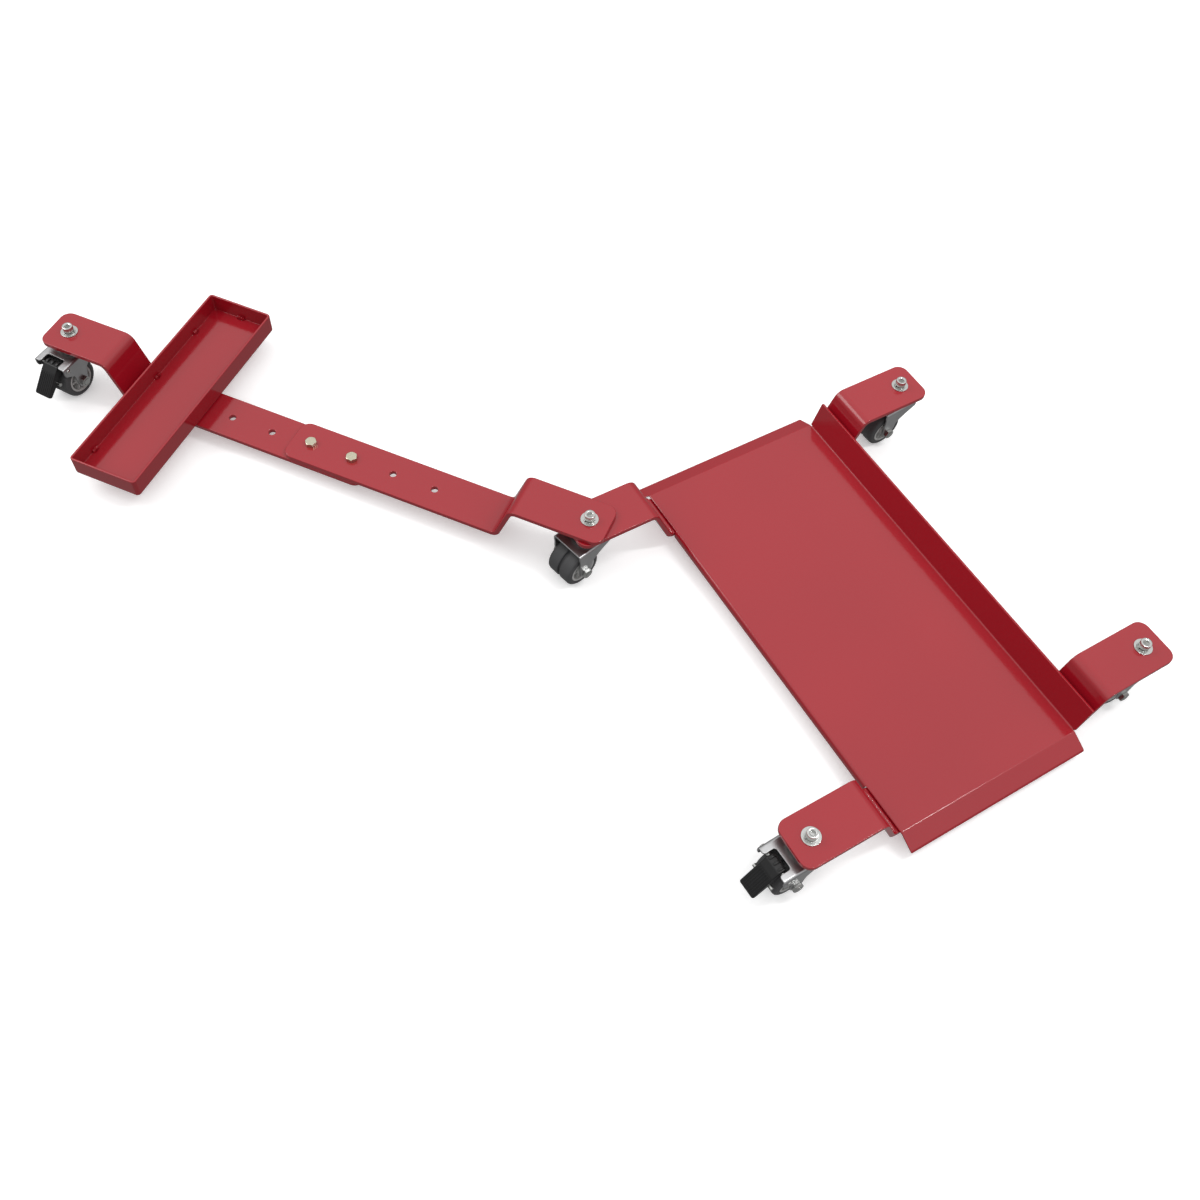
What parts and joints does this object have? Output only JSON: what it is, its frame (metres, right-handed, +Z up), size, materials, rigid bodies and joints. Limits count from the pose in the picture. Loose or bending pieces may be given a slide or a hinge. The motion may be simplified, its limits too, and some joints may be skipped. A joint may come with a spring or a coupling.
{
  "type": "motorcycle rear wheel dolly",
  "caption": "Low wheel dolly for parking a motorcycle: a tyre deck with a guide flange on two cross bars, and a hinged arm with a side-stand tray, on swivel castors.",
  "frame": {"origin": "middle of the overall box, on the floor under the wheels", "axes": "+X towards the deck's guide-flange side, +Y along the deck in the motorcycle's forward direction, +Z up"},
  "size_m": [1, 1.1124, 0.0967],
  "materials": {
    "red_paint": "glossy powder coat",
    "zinc": "bright zinc plate",
    "pressed_steel": "plated pressing, satin",
    "wheel_rubber": "moulded, satin",
    "grey_nylon": "moulded nylon",
    "black_plastic": "ribbed moulding"
  },
  "bodies": {
    "frame": {"deck": "red_paint", "rear_cross_bar": "red_paint", "front_cross_bar": "red_paint", "rear_left_kingpin": "zinc", "rear_left_kingpin_washer": "zinc", "rear_left_kingpin_nut": "zinc", "rear_left_swivel_race": "zinc", "rear_right_kingpin": "zinc", "rear_right_kingpin_washer": "zinc", "rear_right_kingpin_nut": "zinc", "rear_right_swivel_race": "zinc", "front_right_kingpin": "zinc", "front_right_kingpin_washer": "zinc", "front_right_kingpin_nut": "zinc", "front_right_swivel_race": "zinc", "pivot_kingpin": "zinc", "pivot_kingpin_washer": "zinc", "pivot_kingpin_nut": "zinc", "pivot_swivel_race": "zinc"},
    "arm": {"arm_bar": "red_paint", "tray_bar": "red_paint", "stand_tray": "red_paint", "arm_bolt_inner": "zinc", "arm_bolt_outer": "zinc", "arm_nut_inner": "zinc", "arm_nut_outer": "zinc", "stand_kingpin": "zinc", "stand_kingpin_washer": "zinc", "stand_kingpin_nut": "zinc", "stand_swivel_race": "zinc"},
    "rear_left_yoke": {"rear_left_fork": "pressed_steel", "rear_left_axle_bolt": "zinc", "rear_left_axle_nut": "zinc", "rear_left_brake_pin": "zinc"},
    "rear_left_wheel": {"rear_left_tyre": "wheel_rubber", "rear_left_hub": "grey_nylon"},
    "rear_left_pedal": {"rear_left_brake_pedal": "black_plastic"},
    "rear_right_yoke": {"rear_right_fork": "pressed_steel", "rear_right_axle_bolt": "zinc", "rear_right_axle_nut": "zinc"},
    "rear_right_wheel": {"rear_right_tyre": "wheel_rubber", "rear_right_hub": "grey_nylon"},
    "front_right_yoke": {"front_right_fork": "pressed_steel", "front_right_axle_bolt": "zinc", "front_right_axle_nut": "zinc"},
    "front_right_wheel": {"front_right_tyre": "wheel_rubber", "front_right_hub": "grey_nylon"},
    "pivot_yoke": {"pivot_fork": "pressed_steel", "pivot_axle_bolt": "zinc", "pivot_axle_nut": "zinc"},
    "pivot_wheel": {"pivot_tyre": "wheel_rubber", "pivot_hub": "grey_nylon"},
    "stand_yoke": {"stand_fork": "pressed_steel", "stand_axle_bolt": "zinc", "stand_axle_nut": "zinc", "stand_brake_pin": "zinc"},
    "stand_wheel": {"stand_tyre": "wheel_rubber", "stand_hub": "grey_nylon"},
    "stand_pedal": {"stand_brake_pedal": "black_plastic"}
  },
  "joints": [
    {"name": "arm_pivot", "type": "hinge", "parent": "frame", "child": "arm", "pos_m": [0.00601, -0.05637, 0.0833], "axis": [0, 0, 1], "range_deg": [-80, 120]},
    {"name": "rear_left_swivel", "type": "hinge", "parent": "frame", "child": "rear_left_yoke", "pos_m": [0.00601, -0.50737, 0.063], "axis": [0, 0, 1], "continuous": true},
    {"name": "rear_left_roll", "type": "hinge", "parent": "rear_left_yoke", "child": "rear_left_wheel", "pos_m": [-0.01798, -0.50821, 0.025], "axis": [0.0349, -0.9994, 0], "continuous": true},
    {"name": "rear_left_brake", "type": "hinge", "parent": "rear_left_yoke", "child": "rear_left_pedal", "pos_m": [-0.03397, -0.50877, 0.0555], "axis": [0.0349, -0.9994, 0], "range_deg": [0, 12]},
    {"name": "rear_right_swivel", "type": "hinge", "parent": "frame", "child": "rear_right_yoke", "pos_m": [0.47401, -0.50737, 0.063], "axis": [0, 0, 1], "continuous": true},
    {"name": "rear_right_roll", "type": "hinge", "parent": "rear_right_yoke", "child": "rear_right_wheel", "pos_m": [0.45001, -0.50737, 0.025], "axis": [0, -1, 0], "continuous": true},
    {"name": "front_right_swivel", "type": "hinge", "parent": "frame", "child": "front_right_yoke", "pos_m": [0.47401, -0.05637, 0.063], "axis": [0, 0, 1], "continuous": true},
    {"name": "front_right_roll", "type": "hinge", "parent": "front_right_yoke", "child": "front_right_wheel", "pos_m": [0.45006, -0.05804, 0.025], "axis": [0.0698, -0.9976, 0], "continuous": true},
    {"name": "pivot_swivel", "type": "hinge", "parent": "frame", "child": "pivot_yoke", "pos_m": [0.00601, -0.05637, 0.063], "axis": [0, 0, 1], "continuous": true},
    {"name": "pivot_roll", "type": "hinge", "parent": "pivot_yoke", "child": "pivot_wheel", "pos_m": [-0.01738, -0.06177, 0.025], "axis": [0.225, -0.9744, 0], "continuous": true},
    {"name": "stand_swivel", "type": "hinge", "parent": "arm", "child": "stand_yoke", "pos_m": [-0.43031, 0.52264, 0.063], "axis": [0, 0, 1], "continuous": true},
    {"name": "stand_roll", "type": "hinge", "parent": "stand_yoke", "child": "stand_wheel", "pos_m": [-0.45066, 0.50992, 0.025], "axis": [0.5299, -0.848, 0], "continuous": true},
    {"name": "stand_brake", "type": "hinge", "parent": "stand_yoke", "child": "stand_pedal", "pos_m": [-0.46423, 0.50145, 0.0555], "axis": [0.5299, -0.848, 0], "range_deg": [0, 12]}
  ]
}
